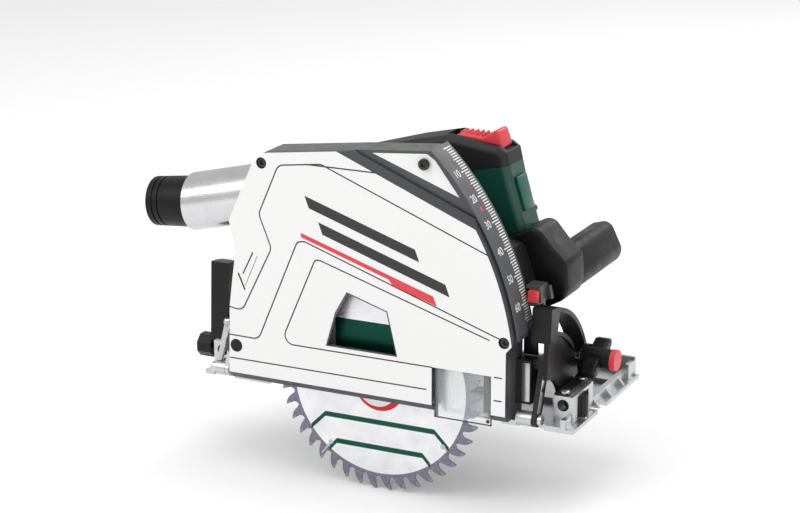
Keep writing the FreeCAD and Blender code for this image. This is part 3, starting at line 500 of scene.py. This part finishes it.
FINISHES: dict[str, Finish] = {finish.name: finish for finish in (
    Plastic("cover_white", (0.80, 0.80, 0.79), 0.34, 1500.0, 0.05),
    Plastic("guard_grey", (0.060, 0.061, 0.064), 0.36, 1800.0, 0.08),
    Metal("cast_alloy", (0.60, 0.605, 0.61), 0.34, grain=620.0, relief=0.16),
    Plastic("black_plastic", DEEP_BLACK, 0.36, gloss=0.3),
    Metal("black_steel", (0.06, 0.06, 0.064), 0.28, grain=500.0, relief=0.05),
    Metal("steel", (0.66, 0.66, 0.67), 0.24, (1, 14, 14), 160.0, 0.05),
    Metal("carbide", (0.30, 0.29, 0.33), 0.3),
    Plastic("green_plastic", DEEP_GREEN, 0.33, 2400.0, 0.08, 0.6),
    Plastic("red_plastic", (0.66, 0.035, 0.05), 0.36, 2600.0, 0.05, 0.6),
    Plastic("rubber_black", DEEP_BLACK, 0.42, 1900.0, 0.14, 0.24),
    ClearPlastic("clear_plastic"),
    Metal("copper", (0.62, 0.27, 0.12), 0.38, (1, 26, 1), 120.0, 0.5),
    Plastic("scale_dark", (0.075, 0.076, 0.080), 0.45, 1400.0, 0.03, 0.4),
    Plastic("board_green", (0.02, 0.16, 0.06), 0.4),
    Metal("bronze", (0.55, 0.40, 0.18), 0.35),
    Metal("chrome", (0.52, 0.52, 0.53), 0.2, grain=300.0, relief=0.02),
    CoverSkin(),
    # Near-black on cast alloy: painted shade on the gear housing and gear cover, which sit in shadow; the
    # front guard arm is made near-black too.
    Plastic("near_black_casting", (0.010, 0.010, 0.011), 0.46, 700.0, 0.2, 0.4),
    Plastic("clear_rim", (0.03, 0.03, 0.033), 0.25, 900.0, 0.02, 0.6),
    Plastic("print_white", (0.78, 0.78, 0.77), 0.5, 900.0, 0.02),
    # Black for print on the cover, also used as painted shadow along the embossed arrow.
    Plastic("print_and_shadow_black", (0.02, 0.02, 0.021), 0.4, 900.0, 0.02),
    Plastic("label_green", (0.006, 0.095, 0.060), 0.34, 900.0, 0.02),
    TwoShot(),
)}
FINISHES["blade_steel"] = BladePrint()


class Paintbox:
    """Makes each finish once and hands it out."""

    def __init__(self) -> None:
        """Starts with nothing made."""
        self.made: dict[str, bpy.types.Material] = {}

    def get(self, name: str) -> bpy.types.Material:
        """A finish's material, made on first use.

        Args:
            name: The finish's name.

        Returns:
            The material.
        """
        if name not in self.made:
            self.made[name] = FINISHES[name].make()
        return self.made[name]

    def coat(self, piece: bpy.types.Object, name: str) -> None:
        """Gives a piece one finish all over.

        Args:
            piece: The piece to paint.
            name: The finish's name.
        """
        piece.data.materials.clear()
        piece.data.materials.append(self.get(name))


# ---------------------------------------------------------------- bench tools


class Bench:
    """Modelling moves shared by every sub-assembly, all in millimetres."""

    @staticmethod
    def clear() -> None:
        """Leaves nothing selected."""
        if bpy.context.mode != "OBJECT":
            bpy.ops.object.mode_set(mode="OBJECT")
        bpy.ops.object.select_all(action="DESELECT")

    @staticmethod
    def pick(piece: bpy.types.Object) -> None:
        """Selects one piece alone.

        Args:
            piece: The piece to work on.
        """
        Bench.clear()
        piece.select_set(True)
        bpy.context.view_layer.objects.active = piece

    @staticmethod
    def settle(piece: bpy.types.Object) -> bpy.types.Object:
        """Moves a piece's place into its mesh and faces it outwards.

        Args:
            piece: The piece to settle.

        Returns:
            The same piece.
        """
        Bench.pick(piece)
        bpy.ops.object.transform_apply(location=True, rotation=True, scale=True)
        bpy.ops.object.mode_set(mode="EDIT")
        bpy.ops.mesh.select_all(action="SELECT")
        bpy.ops.mesh.remove_doubles(threshold=MERGE_REACH)
        bpy.ops.mesh.normals_make_consistent(inside=False)
        bpy.ops.object.mode_set(mode="OBJECT")
        return piece

    @staticmethod
    def finish(piece: bpy.types.Object, bevel: float, segments: int) -> bpy.types.Object:
        """Rounds a piece's sharp edges and shades it by angle.

        Args:
            piece: The piece to finish.
            bevel: The width of the rounding, or nought for none.
            segments: The steps of that rounding.

        Returns:
            The same piece.
        """
        Bench.settle(piece)
        if bevel:
            mod = piece.modifiers.new("Edge", "BEVEL")
            mod.width = bevel * MM
            mod.segments = segments
            mod.limit_method = "ANGLE"
            mod.angle_limit = BEVEL_ANGLE
            bpy.ops.object.modifier_apply(modifier=mod.name)
        bpy.ops.object.shade_smooth_by_angle(angle=SMOOTH_ANGLE)
        return piece

    @staticmethod
    def outline(name: str, plane: Plane, corners: Sequence[Point2], start: float, depth: float,
                bevel: float = 0.0, segments: int = 2) -> bpy.types.Object:
        """Pulls a flat outline into a solid.

        Args:
            name: The piece's name.
            plane: The plane that the outline lies in.
            corners: The outline's corners.
            start: Where the outline stands along the plane's normal.
            depth: How far it is pulled.
            bevel: The width of the rounding on its edges.
            segments: The steps of that rounding.

        Returns:
            The finished piece.
        """
        Bench.clear()
        bpy.ops.mesh.primitive_circle_add(vertices=len(corners), radius=1.0, fill_type="NGON")
        piece = bpy.context.object
        piece.name = name
        for vertex, (a, b) in zip(piece.data.vertices, corners):
            vertex.co = plane.lift(a, b, start) * MM
        bpy.ops.object.mode_set(mode="EDIT")
        bpy.ops.mesh.select_all(action="SELECT")
        push = plane.normal() * depth * MM
        bpy.ops.mesh.extrude_region_move(TRANSFORM_OT_translate={"value": push})
        bpy.ops.object.mode_set(mode="OBJECT")
        return Bench.finish(piece, bevel, segments)

    @staticmethod
    def slab(name: str, plane: Plane, low: Point2, high: Point2, start: float, depth: float,
             bevel: float = 0.0, segments: int = 2) -> bpy.types.Object:
        """Pulls a rectangle into a solid.

        Args:
            name: The piece's name.
            plane: The plane that the rectangle lies in.
            low: Its lowest corner.
            high: Its highest corner.
            start: Where it stands along the plane's normal.
            depth: How far it is pulled.
            bevel: The width of the rounding on its edges.
            segments: The steps of that rounding.

        Returns:
            The finished piece.
        """
        corners = (low, (high[0], low[1]), high, (low[0], high[1]))
        return Bench.outline(name, plane, corners, start, depth, bevel, segments)

    @staticmethod
    def disc(name: str, axis: str, centre: Point3, radius: float, depth: float, sides: int = 48,
             bevel: float = 0.0) -> bpy.types.Object:
        """A round that starts at a centre and runs along an axis.

        Args:
            name: The piece's name.
            axis: The axis that it runs along: x, y or z.
            centre: The middle of its first face.
            radius: Its radius.
            depth: Its length along the axis.
            sides: How many sides its rim has.
            bevel: The width of the rounding on its edges.

        Returns:
            The finished piece.
        """
        Bench.clear()
        bpy.ops.mesh.primitive_cylinder_add(vertices=sides, radius=radius * MM, depth=depth * MM)
        piece = bpy.context.object
        piece.name = name
        turn = {"x": Matrix.Rotation(math.pi / 2, 4, "Y"), "y": Matrix.Rotation(-math.pi / 2, 4, "X"),
                "z": Matrix.Identity(4)}[axis]
        lift = Matrix.Translation((0, 0, depth / 2 * MM))
        piece.data.transform(Matrix.Translation(Vector(centre) * MM) @ turn @ lift)
        return Bench.finish(piece, bevel, 2)

    @staticmethod
    def block(name: str, size: Point3) -> bpy.types.Object:
        """A plain block centred on the origin.

        Args:
            name: The piece's name.
            size: Its length along each axis.

        Returns:
            The block.
        """
        Bench.clear()
        bpy.ops.mesh.primitive_cube_add(size=1.0)
        piece = bpy.context.object
        piece.name = name
        piece.data.transform(Matrix.Diagonal((*(Vector(size) * MM), 1.0)))
        return piece

    @staticmethod
    def join(name: str, pieces: Sequence[bpy.types.Object]) -> bpy.types.Object:
        """Joins pieces into one.

        Args:
            name: The joined piece's name.
            pieces: What to join.

        Returns:
            The joined piece.
        """
        Bench.clear()
        for piece in pieces:
            piece.select_set(True)
        bpy.context.view_layer.objects.active = pieces[0]
        bpy.ops.object.join()
        joined = bpy.context.view_layer.objects.active
        joined.name = name
        return joined

    @staticmethod
    def carve(piece: bpy.types.Object, tool: bpy.types.Object) -> None:
        """Takes one piece away from another.

        Args:
            piece: The piece to cut.
            tool: The piece that cuts it, which goes afterwards.
        """
        Bench.pick(piece)
        mod = piece.modifiers.new("Carve", "BOOLEAN")
        mod.object = tool
        mod.solver = "EXACT"
        bpy.ops.object.modifier_apply(modifier=mod.name)
        bpy.data.objects.remove(tool, do_unlink=True)

    @staticmethod
    def digits(number: int, size: float, depth: float) -> bpy.types.Object:
        """A number as a thin solid in the xy plane, centred on the origin.

        Args:
            number: The number to write.
            size: The height of its digits.
            depth: How thick they are.

        Returns:
            The number's piece.
        """
        Bench.clear()
        bpy.ops.object.text_add()
        piece = bpy.context.object
        piece.name = f"digits_{number}"
        piece.data.body = str(number)
        piece.data.size = size * MM
        piece.data.extrude = depth / 2 * MM
        piece.data.align_x = "CENTER"
        piece.data.align_y = "CENTER"
        bpy.ops.object.convert(target="MESH")
        return bpy.context.object


# ---------------------------------------------------------------- sub-assemblies


@dataclass
class SubAssembly:
    """The base of each dressed group: it knows the paints and the body that it rides on."""

    paints: Paintbox
    body: str = "base"

    def place(self, piece: bpy.types.Object, finish: str, *replaced: str) -> None:
        """Paints a piece, makes it ride on the group's body and lists it.

        Args:
            piece: The piece to place.
            finish: The name of its finish.
            replaced: The CAD nodes that it stands for, if any.
        """
        self.paints.coat(piece, finish)
        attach(piece, self.body)
        if replaced:
            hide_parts(*replaced)
        log.info("%s rides on %s", piece.name, self.body)

    def build(self) -> None:
        """Builds the group's pieces."""
        raise NotImplementedError


@dataclass
class CoverDress(SubAssembly):
    """The print, the painted shadow lines of the embossed arrow, the window's lip and the upper panel on
    the cover, and the cover's screws.
    """

    body: str = "guard"
    face: float = -85.0
    print_lift: float = 0.12
    print_thick: float = 0.11
    stripe: tuple[Point2, ...] = (
        (-58, 128.6), (30, 100.6), (49, 94.6), (52, 87.4), (17, 98.4), (13.2, 102.6), (-57.6, 125.2))
    bars: tuple[Point3, ...] = ((-51.0, 38.0, 148.0), (-40.0, 62.0, 133.0))
    bar_origin: float = -51.0
    bar_slope: float = -0.33
    bar_height: float = 9.0
    bar_lean: float = 3.4
    # The arrow's lines are painted shadow of the embossed arrow: the thick stem and barb on its shaded left
    # side, the thin line at its right edge.
    lines: tuple[tuple[str, float, tuple[Point2, ...]], ...] = (
        ("arrow_stem_shadow", 1.0, ((-98.7, 108.0), (-107.0, 91.3))),
        ("arrow_barb_shadow", 1.3, ((-111.0, 90.3), (-106.1, 79.1))),
        ("arrow_edge_shade", 0.35, ((-94.9, 105.8), (-105.4, 81.9))),
        ("window_lip", 0.8, ((-37.5, 45.0), (-29.8, 71.2), (-20.4, 87.8), (12.1, 77.8), (19.9, 45.0),
                             (-37.5, 45.0))),
    )
    panel: tuple[Point2, ...] = ((-2.0, 193.5), (41.0, 197.3), (47.6, 193.4), (66.8, 168.2))
    screw_places: tuple[Point3, ...] = ((-90.1, -83.6, 177.6), (105.0, -83.6, 67.4), (39.4, -82.0, 189.9))
    lobe_circle: float = 1.25

    def build(self) -> None:
        """Builds the print, the lines, the upper panel and the screw heads."""
        self.decal("stripe_red", self.stripe, "red_plastic")
        for number, (start, end, level) in enumerate(self.bars, start=1):
            a, b = (level + self.bar_slope * (x - self.bar_origin) for x in (start, end))
            corners = ((start, a), (end, b), (end - self.bar_lean, b + self.bar_height),
                       (start - self.bar_lean, a + self.bar_height))
            self.decal(f"bar_dark_{number}", corners, "print_and_shadow_black")
        for name, width, path in self.lines:
            self.line(name, path, width)
        self.place(Bench.outline("upper_panel", Plane.XZ, self.panel, -79.4, 0.5, 0.15, 1), "cover_white")
        heads = [self.screw(number, place) for number, place in enumerate(self.screw_places, start=1)]
        self.place(Bench.join("cover_screw_heads", heads), "black_steel", "cover_screws")

    def patch(self, name: str, corners: Sequence[Point2]) -> bpy.types.Object:
        """A thin flat patch just above the cover's face.

        Args:
            name: The patch's name.
            corners: Its outline.

        Returns:
            The patch.
        """
        return Bench.outline(name, Plane.XZ, corners, self.face - self.print_lift, self.print_thick)

    def decal(self, name: str, corners: Sequence[Point2], finish: str) -> None:
        """A printed patch on the cover's face.

        Args:
            name: The patch's name.
            corners: Its outline.
            finish: The name of its finish.
        """
        self.place(self.patch(name, corners), finish)

    def line(self, name: str, path: Sequence[Point2], width: float) -> None:
        """A thin black line along a path on the cover's face; on the arrow it is painted shadow along the
        edges of its emboss.

        Args:
            name: The line's name.
            path: The points that it runs through.
            width: Its width.
        """
        runs = []
        for number, (start, end) in enumerate(zip(path, path[1:]), start=1):
            a, b = Vector(start), Vector(end)
            ahead = (b - a).normalized() * width / 2
            side = ahead.orthogonal()
            corners = (a - ahead + side, b + ahead + side, b + ahead - side, a - ahead - side)
            runs.append(self.patch(f"{name}_{number}", [tuple(corner) for corner in corners]))
        # Print black, which on the arrow's lines is painted shadow.
        self.place(Bench.join(name, runs), "print_and_shadow_black")

    def screw(self, number: int, place: Point3) -> bpy.types.Object:
        """A domed screw head with a six-lobed socket.

        Args:
            number: The screw's number.
            place: Where it stands.

        Returns:
            The screw head.
        """
        x, y, z = place
        dome = Bench.disc(f"cover_screw_{number}", "y", (x, y - 0.4, z), 4.25, 3.2, 40, 0.9)
        socket = y - 1.0
        for lobe in range(6):
            angle = math.radians(60 * lobe)
            at = (x + self.lobe_circle * math.cos(angle), socket, z + self.lobe_circle * math.sin(angle))
            Bench.carve(dome, Bench.disc("lobe", "y", at, 0.62, 2.0, 14))
        Bench.carve(dome, Bench.disc("hub", "y", (x, socket, z), 1.3, 2.0, 20))
        return dome


@dataclass
class ScalePrint(SubAssembly):
    """Ticks, numbers and the red mark on the curved depth scale."""

    body: str = "guard"
    pivot: Point2 = (-114.2, 33.5)
    radius: float = 232.06
    top_angle: float = 45.5
    bottom_angle: float = 11.4
    depth_range: int = 66
    tick_edge: float = -56.5
    tick_lengths: tuple[Point2, ...] = ((10, 11.0), (5, 9.5), (1, 8.0))
    tick_size: Point2 = (0.85, 0.1)
    digit_height: float = 8.4
    digit_middle: float = -74.5
    mark_depth: float = 24.0
    mark_middle: float = -72.0

    def put(self, piece: bpy.types.Object, depth: float, y: float) -> None:
        """Lays a flat piece, drawn in xy, on the scale's arc.

        Args:
            piece: The piece to lay.
            depth: The cutting depth that it stands at.
            y: Where its middle stands across the scale.
        """
        part = depth / self.depth_range
        angle = math.radians(self.top_angle + (self.bottom_angle - self.top_angle) * part)
        out, along = Vector((math.cos(angle), 0, math.sin(angle))), Vector((0, 1, 0))
        turn = Matrix((along, out.cross(along), out)).transposed()
        spot = Vector((self.pivot[0], y, self.pivot[1])) + out * self.radius
        piece.data.transform(Matrix.Translation(spot * MM) @ turn.to_4x4())

    def build(self) -> None:
        """Builds the ticks, the numbers and the mark."""
        ticks, numbers = [], []
        for depth in range(self.depth_range + 1):
            length = next(length for step, length in self.tick_lengths if depth % step == 0)
            tick = Bench.block(f"tick_{depth}", (length, *self.tick_size))
            self.put(tick, depth, self.tick_edge - length / 2)
            ticks.append(tick)
            if depth and depth % 10 == 0:
                number = Bench.digits(depth, self.digit_height, self.tick_size[1])
                self.put(number, depth, self.digit_middle)
                numbers.append(number)
        self.place(Bench.settle(Bench.join("scale_ticks", ticks)), "print_white")
        self.place(Bench.join("scale_numbers", numbers), "print_white")
        mark = Bench.block("scale_mark", (3.0, 3.4, 0.12))
        self.put(mark, self.mark_depth, self.mark_middle)
        self.place(Bench.settle(mark), "red_plastic")


@dataclass
class GripPad(SubAssembly):
    """The raised plain pad on the front of the grip's green column."""

    body: str = "plunge_unit"
    corners: tuple[Point2, ...] = ((85.8, 143.0), (78.6, 168.0), (81.0, 168.7), (88.3, 143.7))

    def build(self) -> None:
        """Builds the pad."""
        self.place(Bench.outline("grip_pad", Plane.XZ, self.corners, -8.5, 17.0, 1.1, 3), "label_green")


@dataclass
class LockoffSlider(SubAssembly):
    """The red lock-off slider: a low ribbed thumb pad that rises to a horn at its front."""

    body: str = "lockoff"
    profile: tuple[Point2, ...] = (
        (29, 188), (69, 188), (69, 191), (65, 201.4), (62.4, 201.6), (53, 195.4), (34, 196.6), (29, 193))
    rib: tuple[Point2, ...] = ((0, 195.6), (1.8, 195.5), (1.4, 197.6), (0.4, 197.7))
    rib_start: float = 33.5
    rib_step: float = 4.3
    rib_count: int = 5

    def build(self) -> None:
        """Builds the slider and its ribs as one piece."""
        pieces = [Bench.outline("slider_body", Plane.XZ, self.profile, -9.0, 18.0, 1.3, 3)]
        for number in range(self.rib_count):
            start = self.rib_start + self.rib_step * number
            corners = [(start + a, b) for a, b in self.rib]
            pieces.append(Bench.outline(f"slider_rib_{number + 1}", Plane.XZ, corners, -6.5, 13.0, 0.3, 1))
        self.place(Bench.join("lockoff_slider_moulded", pieces), "red_plastic", "lockoff_slider")


@dataclass
class FrontHandle(SubAssembly):
    """The fixed front handle: a faceted root on the guard side and a round-edged bar."""

    body: str = "plunge_unit"
    root: tuple[Point2, ...] = (
        (72, 97), (73, 124), (92.6, 133.5), (100.8, 137.8), (106.8, 136.6), (118, 123.6), (128.2, 114.6),
        (130.2, 95.3), (126.7, 86.2), (112.5, 78.3), (100, 80))
    bar: tuple[Point2, ...] = (
        (99, 106), (106, 115), (117.5, 118), (122.5, 115), (130.5, 98.5), (130, 92.5), (126.5, 87.5),
        (114, 82), (106, 84), (98, 98))

    def build(self) -> None:
        """Builds the root and the bar as one moulded piece."""
        root = Bench.outline("handle_root", Plane.XZ, self.root, -29.5, 36.0, 4.0, 3)
        bar = Bench.outline("handle_bar", Plane.XZ, self.bar, 2.0, 80.0, 3.6, 5)
        self.place(Bench.join("front_handle_moulded", [root, bar]), "rubber_black", "front_handle")


@dataclass
class ChipGuardRim(SubAssembly):
    """Dark edges that outline the clear chip guard, its runner and its little screw."""

    body: str = "chip_shield"
    edge: float = 0.9
    edge_thick: float = 0.5
    runner_wide: float = 2.4
    screw_inset: float = 3.0

    def build(self) -> None:
        """Builds four thin rails, the runner and the screw round the clear plate."""
        low, high = (Vector(corner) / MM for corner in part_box("chip_guard"))
        rails = []
        for name, start, end in (("low", (low.x, low.z), (high.x, low.z + self.edge)),
                                 ("high", (low.x, high.z - self.edge), (high.x, high.z)),
                                 ("rear", (low.x, low.z), (low.x + self.edge, high.z)),
                                 ("front", (high.x - self.edge, low.z), (high.x, high.z))):
            rails.append(Bench.slab(f"rim_{name}", Plane.XZ, start, end, low.y, self.edge_thick))
        runner_end = (low.x + self.runner_wide, high.z)
        rails.append(Bench.slab("rim_runner", Plane.XZ, (low.x, low.z), runner_end, low.y + 0.6, 1.2))
        screw = (high.x - self.screw_inset, low.y, low.z + self.screw_inset)
        rails.append(Bench.disc("rim_screw", "y", screw, 1.5, 1.2, 20, 0.4))
        self.place(Bench.join("chip_guard_rim", rails), "clear_rim")


@dataclass
class RodBlockDress(SubAssembly):
    """The front rod block's black cap and its two bright domed screws."""

    body: str = "base"
    inset: float = 0.3
    front_inset: float = 4.0
    screw_x: float = 139.0
    screw_rows: tuple[float, ...] = (-52.5, -19.5)

    def build(self) -> None:
        """Builds the cap and the domes on top of the block."""
        low, high = (Vector(corner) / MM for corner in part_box("front_rod_block"))
        start = (low.x + self.inset, low.y + self.inset)
        end = (high.x - self.front_inset, high.y - self.inset)
        self.place(Bench.slab("rod_block_cap", Plane.XY, start, end, high.z, 1.8, 0.6, 2), "black_plastic")
        domes = [Bench.disc(f"block_dome_{number}", "z", (self.screw_x, y, high.z + 1.2), 3.6, 2.6, 40, 1.5)
                 for number, y in enumerate(self.screw_rows, start=1)]
        self.place(Bench.join("rod_block_domes", domes), "chrome", "rod_block_screws")


@dataclass
class GuardArms(SubAssembly):
    """Bright links on the guard arms, the lining behind the chip guard and the foot under the scale."""

    body: str = "guard"
    rear: tuple[Point2, ...] = ((-139.5, 13.8), (-135.3, 13.8), (-126.6, 44), (-128.4, 48), (-131.6, 46))
    front: tuple[Point2, ...] = ((-73.0, 13.5), (-64.6, 12.2), (-53.6, 43), (-54.2, 48.5), (-60.8, 48.5))
    foot: tuple[Point2, ...] = ((106.5, 50.5), (117.5, 50.5), (116.8, 66), (113, 73), (106.5, 73))

    def build(self) -> None:
        """Builds the two links, the bright strip, the lining and the foot."""
        links = [Bench.outline("rear_link_strap", Plane.XZ, self.rear, -72.2, 3.0, 0.6, 2),
                 Bench.disc("rear_link_barrel", "x", (-131.8, -70.6, 46), 3.1, 5.0, 32, 0.6)]
        self.place(Bench.join("rear_link", links), "chrome")
        links = [Bench.outline("front_link_strap", Plane.YZ, self.front, 125.7, 0.8, 0.3, 2),
                 Bench.slab("front_strip", Plane.XZ, (111.0, 19), (117.2, 48.5), -66.8, 0.9, 0.3, 2)]
        self.place(Bench.join("front_link", links), "chrome")
        lining = Bench.slab("nose_lining", Plane.XZ, (81, 5), (97, 43), -66.5, 1.0, 0.3, 1)
        self.place(lining, "black_plastic")
        foot = Bench.outline("scale_foot", Plane.XZ, self.foot, -53.7, 2.9, 0.5, 2)
        self.place(foot, "black_plastic")


@dataclass
class CarriedNodes:
    """The CAD nodes that stay in view, each with its finish."""

    paints: Paintbox
    # gear_housing and gear_cover get the near-black casting as painted shade; front_guard_arm gets it too.
    own_finishes: tuple[tuple[str, str], ...] = (
        ("pivot_shaft", "black_plastic"), ("front_guard_arm", "near_black_casting"),
        ("gear_housing", "near_black_casting"), ("gear_cover", "near_black_casting"), ("handle_left", "two_shot"),
        ("handle_right", "two_shot"), ("blade_cover", "cover_skin"))

    def build(self, frame: dict) -> None:
        """Gives every node the finish of its material slot, unless it has one of its own.

        Args:
            frame: The loaded frame.
        """
        finishes = {entry["node"]: entry["material_slot"] for entry in frame["record"]["subparts"]}
        finishes.update(self.own_finishes)
        for name, node in frame["nodes"].items():
            self.paints.coat(node, finishes[name])


# ---------------------------------------------------------------- studio


@dataclass(frozen=True)
class Lamp:
    """One soft square light that looks at the saw."""

    name: str
    spot: Point3
    size: float
    power: float

    def build(self, target: Vector) -> None:
        """Sets the light up.

        Args:
            target: The point that it looks at.
        """
        Bench.clear()
        bpy.ops.object.light_add(type="AREA", location=self.spot)
        lamp = bpy.context.object
        lamp.name = f"studio_{self.name}"
        lamp.data.size = self.size
        lamp.data.energy = self.power
        lamp.rotation_euler = (target - Vector(self.spot)).to_track_quat("-Z", "Y").to_euler()


@dataclass(frozen=True)
class Studio:
    """The pale floor, the soft light and the camera."""

    floor_size: float = 14.0
    floor_level: float = -0.0664
    sky_strength: float = 0.68
    light_target: Point3 = (0, 0, 0.06)
    lamps: tuple[Lamp, ...] = (
        Lamp("key", (-1.1, -1.5, 1.5), 1.4, 16.0), Lamp("fill", (1.6, -0.7, 0.9), 1.1, 5.0),
        Lamp("rim", (0.5, 1.6, 1.3), 1.2, 12.0), Lamp("overhead", (0.0, -0.2, 2.0), 1.6, 10.0))
    camera_spot: Point3 = (0.7071, -1.4920, 0.5866)
    camera_target: Point3 = (-0.00648, -0.025, 0.10118)
    lens: float = 102.5
    sensor: float = 36.0
    near: float = 0.05

    def build(self) -> None:
        """Builds the whole studio."""
        self.floor()
        self.sky()
        for lamp in self.lamps:
            lamp.build(Vector(self.light_target))
        self.camera()

    def floor(self) -> None:
        """A wide pale floor just under the blade."""
        Bench.clear()
        bpy.ops.mesh.primitive_plane_add(size=self.floor_size, location=(0, 0, self.floor_level))
        floor = bpy.context.object
        floor.name = "studio_floor"
        g = Graph("studio_floor")
        g.set(Base_Color=(0.97, 0.97, 0.97), Roughness=0.85, Specular_IOR_Level=0.2)
        floor.data.materials.append(g.material)

    def sky(self) -> None:
        """An even white light from all round."""
        world = bpy.data.worlds.new("studio_world")
        world.use_nodes = True
        back = world.node_tree.nodes["Background"]
        back.inputs["Color"].default_value = (1.0, 1.0, 1.0, 1.0)
        back.inputs["Strength"].default_value = self.sky_strength
        bpy.context.scene.world = world
        bpy.context.scene.view_settings.view_transform = "Standard"

    def camera(self) -> None:
        """The camera on the saw's blade side, a little above and ahead."""
        Bench.clear()
        bpy.ops.object.camera_add(location=self.camera_spot)
        camera = bpy.context.object
        camera.data.lens = self.lens
        camera.data.sensor_width = self.sensor
        camera.data.clip_start = self.near
        aim = Vector(self.camera_target) - Vector(self.camera_spot)
        camera.rotation_euler = aim.to_track_quat("-Z", "Y").to_euler()
        bpy.context.scene.camera = camera


def main() -> None:
    """Loads the frame, dresses it group by group and sets up the studio."""
    logging.basicConfig(level=logging.INFO, format="%(message)s")
    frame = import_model()
    Studio().build()
    paints = Paintbox()
    CarriedNodes(paints).build(frame)
    for group in (CoverDress, ScalePrint, GripPad, LockoffSlider, FrontHandle, ChipGuardRim, RodBlockDress,
                  GuardArms):
        group(paints).build()


if __name__ == "__main__":
    main()
